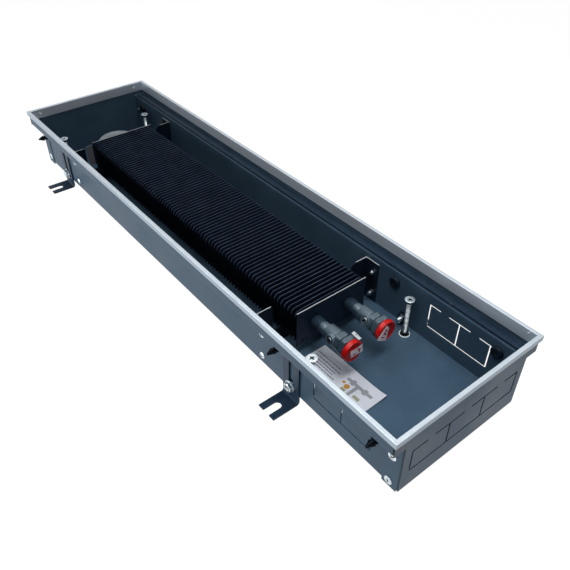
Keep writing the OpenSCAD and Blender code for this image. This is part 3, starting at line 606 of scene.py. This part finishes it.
def makeHolderNuts():
    # Small hexagon nuts with chamfered ends and an open bore
    n = holderNut
    half, corner, high, bore = n["halfFlat"], n["halfFlat"] / hexShare, n["high"], n["bore"]
    nut = hexTurned([(bore, 0), (half, half * 0.97, 0), (half, corner, 0.4), (half, corner, high - 0.4),
                     (half, half * 0.97, high), (bore + 0.4, high), (bore, high - 0.4), (bore, 0)], 60)
    inner = min(abs(v.co.y) for v in nodes["holder_nuts"].data.vertices) / mm
    parts = [ringPart(nut, (x, side * (inner + high), z), (0, -side, 0), 10)
             for x, z, side in screwPlaces("holder_nuts")]
    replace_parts(makePiece("holderHexNuts", parts, "zinc", sharp=25), "holder_nuts")


makeHolderNuts()
print("screws and their nuts made")

plug = {"places": (463.0, 283.5, -467.0), "wall": 106.0, "z": 76.0, "head": 9.5, "headHigh": 5.0,
        "sheet": 1.2, "shaft": 3.5, "barb": 5.7, "core": 2.4, "fin": 2.6, "long": 22.5}


def makePlugs():
    # Barbed plugs: a domed head with a pressed ring inside the trough, and outside four fins, whose
    # radius at an angle is the profile's or, between the fins, that of the core
    g = plug
    r, seat, top, shaft, tip = g["head"], g["sheet"], g["sheet"] + g["headHigh"], g["shaft"], g["long"]
    dome = [(0, top - 1.0), (3.0, top - 1.0), (3.5, top - 0.55), (5.2, top - 0.3), (6.6, top - 0.05),
            (7.4, top - 0.15), (8.4, top - 0.7), (9.1, top - 1.5), (r - 0.05, top - 2.4), (r, seat + 0.3),
            (r - 0.3, seat), (shaft, seat), (shaft, 0)]
    stem = np.array([(shaft, 0), (shaft, 5), (g["barb"] + 0.4, 5.6), (shaft, 10.6), (shaft, 11),
                     (g["barb"], 11.4), (1.4, tip - 0.4), (0.9, tip), (0, tip)])
    angle = np.arange(96) * 2 * np.pi / 96
    across = np.minimum(np.abs(np.sin(angle)), np.abs(np.cos(angle)))
    between = np.maximum(g["core"], g["fin"] / 2 / np.maximum(across, 0.05))
    barbs = polar(np.minimum(stem[:, :1], between), angle, stem[:, 1:])
    parts = []
    for x in g["places"]:
        for side in (-1, 1):
            hole = (x, side * g["wall"], g["z"])
            parts.append(ringPart(turned(dome, 96), hole, (0, -side, 0)))
            parts.append(ringPart(barbs, hole, (0, side, 0)))
    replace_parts(makePiece("barbedPlugs", parts, "plug", sharp=30), "wall_plugs")


makePlugs()
print("barbed plugs made")

crimp = {"stand": 0.9, "behind": 0.2, "long": {"x": (482.9, 488.4), "z": (116.4, 121.6), "face": 121.8},
         "end": {"y": (100.6, 107.0), "z": (112.0, 117.2), "face": 496.8}}


def makeCrimps():
    # Small pressed wedges on the inner legs of the rim near each corner: flush at the top, standing
    # out below by a half sine over their width, which is cut off at its ends
    c, parts = crimp, {"rimAlongX": [], "rimAlongY": []}
    u, v = np.meshgrid(np.linspace(0, 1, 7), np.linspace(0, 1, 7))
    for sx in (-1, 1):
        for sy in (-1, 1):
            for name, look, along in (("rimAlongX", c["long"], "x"), ("rimAlongY", c["end"], "y")):
                (a0, a1), (z0, z1), face = look[along], look["z"], look["face"]
                place = a0 + (a1 - a0) * (u * (1 - v) + v)
                high = z0 + (z1 - z0) * v
                stand = c["stand"] * (1 - v) * np.sin(np.pi * np.clip(u, 0.12, 0.88))
                sides = []
                for across in (face - stand, face + c["behind"] + 0 * u):
                    x, y = (place, across) if along == "x" else (across, place)
                    sides.append(np.stack([sx * x, sy * y, high], -1))
                parts[name] += shell(*sides)
    for name, grids in parts.items():
        makePiece(name.replace("rim", "rimCrimps"), grids, name, sharp=20)


makeCrimps()
print("rim crimps made")

# the depths and the values under them set each fin's slate line: partly a bare edge, partly painted highlight
finPack = {"count": 82, "pitch": 7.5, "thick": 0.5, "half": 62.0, "low": 39.0, "high": 91.0, "corner": 7.0,
           "middleX": -47.5, "middleY": 1.0, "wave": 0.22, "waveMm": 62.0, "columns": 37, "seed": 7,
           "bentEvery": 11, "bent": 1.1, "bentFirst": 4, "knock": 0.25, "knockLong": 22, "second": 0.4,
           "depths": (0.0, 0.4, 1.1, 2.6, 8.0), "lightEdge": (1.0, 0.6, 0.18, 0.04, 0.0)}


def makeFins():
    # Each fin is a sheet over its width and its depth under the top edge, which falls as a quarter
    # circle near each side. Rows that would meet below stay 0.01 mm apart. The sheet leans along X by
    # two slow sine waves that grow towards the top, and now and then its front corner is bent
    f = finPack
    random = np.random.default_rng(f["seed"])
    across = f["half"] * np.sin(np.linspace(-np.pi / 2, np.pi / 2, f["columns"]))
    inCorner = np.clip(np.abs(across) - (f["half"] - f["corner"]), 0, f["corner"])
    top = f["high"] - f["corner"] + np.sqrt(f["corner"] ** 2 - inCorner ** 2)
    depth, lightEdge = np.array(f["depths"])[:, None], np.array(f["lightEdge"])[:, None]
    height = np.concatenate([top[None] - depth, np.full((1, f["columns"]), f["low"])])
    height = np.maximum(height, f["low"] + np.arange(5, -1, -1)[:, None] * 0.01)
    lightEdge = np.broadcast_to(np.concatenate([lightEdge, [[0.0]]]), height.shape)
    share = (height - f["low"]) / (f["high"] - f["low"])
    y = np.broadcast_to(across[None] + f["middleY"], height.shape)
    parts, values = [], []
    for i in range(f["count"]):
        x = f["middleX"] + (i - (f["count"] - 1) / 2) * f["pitch"]
        phase, second = random.uniform(0, 2 * np.pi, 2)
        turns = across / f["waveMm"] * 2 * np.pi
        wave = np.sin(turns + phase) + f["second"] * np.sin(2 * turns + second)
        lean = f["wave"] * wave * random.uniform(0.3, 1.0)
        knock = random.uniform(-1, 1) * (f["bent"] if i % f["bentEvery"] == f["bentFirst"] else f["knock"])
        lean = lean + knock * np.clip((-across - f["half"] + f["knockLong"]) / f["knockLong"], 0, 1) ** 2
        bend = share ** 2 * lean[None]
        front, back = [np.stack([x + bend + s * f["thick"] / 2, y, height], -1) for s in (-1, 1)]
        parts += shell(front, back)
        values += [lightEdge, lightEdge, np.stack([outline(lightEdge)] * 2)]
    piece = makePiece("finPack", parts, "fins", sharp=40, shade=values)
    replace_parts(piece, "fins")


makeFins()
print("fins made")

sleeveShape = {"radius": 9.3, "length": 16.0, "bore": 8.05, "fall": 1.3, "belly": 0.25}
fittingShape = {"neck": 9.2, "groove": 8.3, "body": 12.5, "thread": 13.2, "waterWay": 7.5, "length": 54.5,
                "facetHalf": 13.0, "facetLimit": 14.2, "facet": 13.0,
                "collarHalf": 15.0, "collarLimit": 16.8, "collar": 9.0}
ventShape = {"radius": 7.8, "reach": 14.0, "bore": 4.65, "deep": 7.0, "headRadius": 4.2, "headTop": 15.2,
             "armLong": 9.0, "armHalf": 0.6, "armSlope": 1.0, "recess": 1.3, "rings": 20, "shade": 1.5}
fittings = {"supply": {"ventAt": 30.5, "ventTurn": 23.0}, "return": {"ventAt": 28.0, "ventTurn": 15.0}}


def makeSleeve(node):
    # Insulating sleeve on the tube: its radius falls by a fifth power towards both ends and bellies
    # by a parabola between them
    middle, low = middleOf(node)
    s = sleeveShape
    r, long, bore = s["radius"], s["length"], s["bore"]
    outer = [(r - s["fall"] * abs(t) ** 5 + s["belly"] * (1 - t * t), long / 2 * (1 + t))
             for t in np.linspace(-1, 1, 15)]
    tube = turned([(bore, 0), *outer, (bore, long), (bore, 0)], 64)
    parts = [ringPart(tube, (low[0], *middle[1:]), (1, 0, 0))]
    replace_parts(makePiece("soft_" + node, parts, "sleeve"), node)


def makeFitting(side, look):
    # The fitting's radius over length and angle: neck, groove, round body, two turned rings, a part
    # with six shallow flats and the hexagon collar; the vent port is a turned ring on its own axis
    s, v = fittingShape, ventShape
    start, (y, z) = middleOf("fitting_" + side)[1][0], middleOf("cap_" + side)[0][1:]
    n, g, b, water, thread, long = s["neck"], s["groove"], s["body"], s["waterWay"], s["thread"], s["length"]
    collar, end, facets = long - 0.4 - s["collar"], long - 0.4, long - s["collar"] - s["facet"]
    facet, facetTop, hexed, hexTop = s["facetHalf"], s["facetLimit"], s["collarHalf"], s["collarLimit"]
    rows = [(water, 0), (n - 0.8, 0), (n - 0.8, 1.3), (n - 0.1, 1.5), (n, 2.0), (n, 9.7), (n - 0.3, 10.3),
            (g, 10.5), (g, 11.5), (b - 1.3, 11.7), (b - 0.3, 12.4), (b, 13.4), (b, facets - 0.6),
            (b - 0.5, facets - 0.3), (b - 0.5, facets + 0.3), (b + 0.1, b + 0.3, facets + 0.6),
            (facet, facetTop, facets + 1.6), (facet, facetTop, collar - 2.4), (b - 0.3, collar - 2.0),
            (b - 0.3, collar - 1.4), (b + 0.6, collar - 1.2), (b + 0.8, collar),
            (hexed - 0.8, hexed - 0.6, collar), (hexed, hexTop - 0.5, collar + 0.9),
            (hexed, hexTop, collar + 1.6), (hexed, hexTop, end - 1.2), (hexed, hexTop - 1.0, end - 0.4),
            (hexed - 0.7, hexed - 0.5, end), (thread, end), (thread, long + 4), (thread - 1, long + 5),
            (water, long + 5), (water, 0)]
    tilt = math.radians(look["ventTurn"])
    outwards, foot = (0, -math.cos(tilt), math.sin(tilt)), (start + look["ventAt"], y, z)
    r, top, bore, seat = v["radius"], v["reach"], v["bore"], v["reach"] - v["deep"]
    port = [(0, 3), (r + 1.6, 3), (r + 0.9, 9.4), (r, 10.6), (r, top - 1.3), (r - 0.7, top - 0.1),
            (r - 1.0, top), (r - 1.7, top), (r - 2.0, top - 0.2), (r - 2.4, top - 1.2),
            (bore + 0.3, top - 1.2), (bore, top - 1.5), (bore, seat), (0, seat)]
    shapes = {"facetedFitting_": (ringPart(hexTurned(rows, 144), (start, y, z), (1, 0, 0), 30), "fitting"),
              "ventPort_": (ringPart(turned(port, 64), foot, outwards), "ventPort")}
    for name, (part, finish) in shapes.items():
        piece = makePiece(name + side, [part], finish, sharp=32)
        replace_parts(piece, "fitting_" + side)

    # The vent screw has a domed edge and one slot in painted shade, turned a little off level
    h, high = v["headRadius"], v["headTop"]
    stem = [(0, seat + 1.5), (bore - 0.05, seat + 1.5), (bore - 0.05, high - 1.0), (h, high - 0.7),
            (h, high - 0.3), (h - 0.3, high)]
    face = recessedFace(h - 0.3, high, v, 1)
    deep = np.clip((high - face[..., 2]) / v["recess"] * v["shade"], 0, 1)
    parts = [ringPart(p, foot, outwards, 40) for p in (turned(stem, 72), face)]
    node = "bleed_screw_" + side
    piece = makePiece("slotted_" + node, parts, "vent", node + "_body", sharp=32,
                      shade=[0.1, deep])
    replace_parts(piece, node)


for side, look in fittings.items():
    makeSleeve("sleeve_" + side)
    makeFitting(side, look)
print("sleeves, fittings and vent screws made")

capShape = {"radius": 16.0, "flange": 16.5, "length": 7.0, "thread": 13.3, "recess": 0.9, "lip": 1.7}


def makeCap(node):
    # Push-on cap: a thin flange, a wall with a rounded rim round the face, and the cavity inside
    middle, low = middleOf(node)
    c = capShape
    r, full, thread, out = c["radius"], c["length"], c["thread"], c["flange"]
    floor, lip = full - c["recess"], r - c["lip"]
    outer = [(thread, 0), (out - 0.3, 0), (out, 0.3), (out, 1.1), (out - 0.3, 1.4), (r, 1.7), (r, full - 1.5),
             (r - 0.25, full - 0.7), (r - 0.8, full - 0.2), (r - 1.4, full), (lip - 0.6, full),
             (lip - 1.2, full - 0.35), (lip - 1.5, floor), (3.0, floor), (2.6, floor + 0.4), (0, floor + 0.5),
             (0, full - 1.8), (thread, full - 1.8), (thread, 0)]
    parts = [ringPart(turned(outer, 72), (low[0], *middle[1:]), (1, 0, 0))]
    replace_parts(makePiece("moulded_" + node, parts, "cap", node + "_body", sharp=50), node)


nearTag = {"node": "cap_return", "finish": "tagPaper", "ink": "inkRed", "thick": 0.15, "bow": (0.5, 0, 0),
           "corners": [(341.2, -36.6, 69.0), (341.3, -16.0, 70.6), (341.2, -35.0, 56.2),
                       (341.0, -13.2, 56.0)],
           "marks": [(0.55, 0.68, 0.18, 0.42), (0.62, 0.82, 0.40, 0.55), (0.60, 0.70, 0.55, 0.85),
                     (0.12, 0.40, 0.62, 0.70), (0.12, 0.32, 0.78, 0.86)]}
tags = {
    "capTagNear": nearTag,
    "capTagTail": {**nearTag, "finish": "tagBack", "ink": "inkDark", "bow": (0, 0, 1.2), "corners": [
        (326.4, -22.4, 82.2), (326.8, -17.0, 82.4), (340.2, -21.8, 79.9), (340.2, -16.4, 79.6)],
                   "marks": [(0.35, 0.6, 0.35, 0.5)]},
    "capTagFar": {**nearTag, "node": "cap_supply", "bow": (0.4, 0, 0), "corners": [
        (341.2, 28.6, 77.0), (341.2, 34.4, 69.4), (341.0, 12.6, 58.4), (341.1, 30.4, 47.6)],
                  "marks": [(0.2, 0.8, 0.22, 0.32), (0.3, 0.5, 0.38, 0.62), (0.55, 0.8, 0.46, 0.56),
                            (0.2, 0.6, 0.72, 0.80)]},
}


def tagPoints(look, u, v, lift):
    # Between its four corners (top left, top right, bottom left, bottom right) the paper bows by a
    # half sine over its width
    a, b, c, d = [np.array(p) for p in look["corners"]]
    u, v = u[..., None], v[..., None]
    flat = (a * (1 - u) + b * u) * (1 - v) + (c * (1 - u) + d * u) * v
    bow = np.array(look["bow"])
    return flat + np.sin(np.pi * u) * bow + lift * bow / np.linalg.norm(bow)


def makeTag(name):
    # A paper tag with a few plain strokes in place of its print, each a little slanted
    look = tags[name]
    u, v = np.meshgrid(np.linspace(0, 1, 17), np.linspace(0, 1, 11))
    parts = shell(tagPoints(look, u, v, look["thick"]), tagPoints(look, u, v, 0))
    makePiece(name, parts, look["finish"], look["node"] + "_body")
    strokes = []
    for u0, u1, v0, v1 in look["marks"]:
        u, v = np.meshgrid(np.linspace(u0, u1, 5), np.linspace(v0, v1, 5))
        u = u + 0.06 * v
        strokes += shell(tagPoints(look, u, v, look["thick"] + 0.05), tagPoints(look, u, v, 0.1))
    makePiece(name + "Print", strokes, look["ink"], look["node"] + "_body")


for node in ("cap_supply", "cap_return"):
    makeCap(node)
for name in tags:
    makeTag(name)
print("caps and their tags made")

sheet = {"x": (271.5, 394.0), "y": (-80.0, -16.0), "floor": 13.2, "thick": 0.22, "curl": 3.2,
         "curlLong": 26.0, "wave": 0.35, "waveMm": 70.0}
printed = {"ink": 0.05, "lineHigh": 1.3, "lines": (-31.6, -37.6, -42.6, -47.0, -51.6, -56.4, -61.0, -65.6),
           "lineStart": 275.0, "lineEnd": 328.0, "word": (1.6, 6.5), "gap": 0.9, "seed": 3,
           "pipe": [(338, -36, 384, -31), (346, -38.5, 352, -28.5), (368, -38.5, 374, -28.5),
                    (356, -58, 361, -36)],
           "patch": [(344, -56, 352, -50), (365, -52, 376, -47)],
           "spots": [(348.0, -45.0, 4.2), (339.5, -42.0, 2.4)]}


def sheetHeight(x, y):
    # A soft wave, plus a curl that rises with the square of the distance past its start at the +X end
    s = sheet
    past = np.clip((x - (s["x"][1] - s["curlLong"])) / s["curlLong"], 0, 1)
    corner = np.clip((y - s["y"][0]) / (s["y"][1] - s["y"][0]), 0, 1)
    wave = s["wave"] * (1 - np.cos((x - s["x"][0]) / s["waveMm"] * 2 * np.pi)) / 2
    return s["floor"] + wave + s["curl"] * past ** 2 * corner ** 2


def makeSheet():
    # Printed sheet left on the floor; its print is plain bars and a few simple shapes
    s, p = sheet, printed
    x, y = np.meshgrid(np.linspace(*s["x"], 60), np.linspace(*s["y"], 33))
    low = np.stack([x, y, sheetHeight(x, y)], -1)
    piece = makePiece("printedSheet", shell(low + [0, 0, s["thick"]], low), "sheetPaper")
    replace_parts(piece, "floor_label")

    random = np.random.default_rng(p["seed"])
    bars = []
    for y in p["lines"]:
        x = p["lineStart"] + random.uniform(0, 6)
        while x < p["lineEnd"] - random.uniform(0, 8):
            long = random.uniform(*p["word"])
            bars.append((x, y, x + long, y + p["lineHigh"]))
            x += long + p["gap"]
    shapes = {"sheetLines": ("inkDark", bars), "sheetPipe": ("inkGrey", p["pipe"]),
              "sheetPatch": ("inkOlive", p["patch"])}
    lift = np.array([0, 0, p["ink"]])
    for name, (ink, boxes) in shapes.items():
        parts = []
        for x0, y0, x1, y1 in boxes:
            x, y = np.meshgrid(np.linspace(x0, x1, 7), np.linspace(y0, y1, 3))
            base = np.stack([x, y, sheetHeight(x, y) + s["thick"]], -1)
            parts += shell(base + lift, base - lift)
        makePiece(name, parts, ink)
    spots, high = [], p["ink"]
    for x, y, r in p["spots"]:
        spot = placed(turned([(0, high), (r, high), (r, -high), (0, -high)], 32), (x, y, s["thick"]))
        spot[..., 2] += sheetHeight(spot[..., 0], spot[..., 1])
        spots.append(gridPart(spot, True))
    makePiece("sheetSpots", spots, "inkAmber")


makeSheet()
print("printed sheet made")

stageLook = {"floorHalf": 6.0, "floor": "#b9bcbf", "shown": 0.985, "shade": 0.16,
             "low": 0.16, "high": 0.035, "lowRise": 0.0, "highRise": 0.30}


def startStage(data):
    # An empty tree, and the part of the light that is seen: by the camera, in gloss or through glass
    data.use_nodes = True
    tree = data.node_tree
    tree.nodes.clear()
    light = addNode(tree, "LightPath").outputs
    seen = light["Is Camera Ray"]
    for ray in ("Is Glossy Ray", "Is Transmission Ray"):
        seen = addNode(tree, "Math", {0: seen, 1: light[ray]}, operation="ADD", use_clamp=True)
    return tree, seen


# The floor is seen almost white, with a soft shadow, and throws back the light of a pale grey one
floorMesh = bpy.data.meshes.new("floor")
half = stageLook["floorHalf"]
corners = [(-half, -half, 0), (half, -half, 0), (half, half, 0), (-half, half, 0)]
floorMesh.from_pydata(corners, [], [(0, 1, 2, 3)])
floorMaterial = bpy.data.materials.new("paleStudioFloor")
tree, seen = startStage(floorMaterial)
matt = addNode(tree, "BsdfDiffuse", {"Color": stageLook["floor"]})
faint = addNode(tree, "BsdfDiffuse", {"Color": (*[stageLook["shade"]] * 3, 1)})
glow = addNode(tree, "Emission", {"Color": (1, 1, 1, 1), "Strength": stageLook["shown"]})
white = addNode(tree, "AddShader", {0: faint, 1: glow})
addNode(tree, "OutputMaterial", {"Surface": addNode(tree, "MixShader", {0: seen, 1: matt, 2: white})})
floorMesh.materials.append(floorMaterial)
addObject("floor", floorMesh)

# The world is plain white to the camera and in gloss; its soft light is strongest near the horizon
world = bpy.data.worlds.new("studio")
bpy.context.scene.world = world
tree, seen = startStage(world)
rise = addNode(tree, "SeparateXYZ", {0: addNode(tree, "TexCoord").outputs["Generated"]}).outputs[2]
sky = addNode(tree, "MapRange", {"Value": rise, "From Min": stageLook["lowRise"],
                                 "From Max": stageLook["highRise"], "To Min": stageLook["low"],
                                 "To Max": stageLook["high"]}, interpolation_type="SMOOTHSTEP")
strength = addNode(tree, "Mix", {0: seen, 2: sky, 3: 1.0}, data_type="FLOAT")
back = addNode(tree, "Background", {"Color": (1, 1, 1, 1), "Strength": strength})
addNode(tree, "OutputWorld", {"Surface": back})

lowBox = {"aim": (0, 0, 0.1), "size": (1.9, 0.26), "spread": 170}
lamps = {
    "softboxAbove": {"place": (0.62, 0.0, 1.5), "aim": (0.40, 0, 0), "size": (0.6, 0.4), "power": 2.6,
                     "spread": 88},
    "softboxFarAbove": {"place": (-0.3, 0.0, 1.5), "aim": (0.1, 0, 0), "size": (0.9, 0.5), "power": 1.6,
                        "spread": 100},
    "softboxFrontAbove": {"place": (0.35, -0.55, 1.2), "aim": (0.3, 0, 0), "size": (0.6, 0.4), "power": 1.2,
                          "spread": 90},
    "softboxFront": {**lowBox, "place": (-0.45, -1.25, 0.17), "power": 9},
    "softboxBack": {**lowBox, "place": (-0.1, 1.3, 0.17), "power": 4},
}
for name, look in lamps.items():
    lamp = bpy.data.lights.new(name, "AREA")
    lamp.shape, lamp.energy = "RECTANGLE", look["power"]
    lamp.size, lamp.size_y = look["size"]
    lamp.spread = math.radians(look["spread"])
    lampObject = addObject(name, lamp)
    lampObject.location, lampObject.visible_camera = look["place"], False
    lampObject.rotation_mode = "QUATERNION"
    lampObject.rotation_quaternion = (Vector(look["aim"]) - Vector(look["place"])).to_track_quat("-Z", "Y")
bpy.context.scene.view_settings.view_transform = "Standard"
print("stage, world and lamps ready")
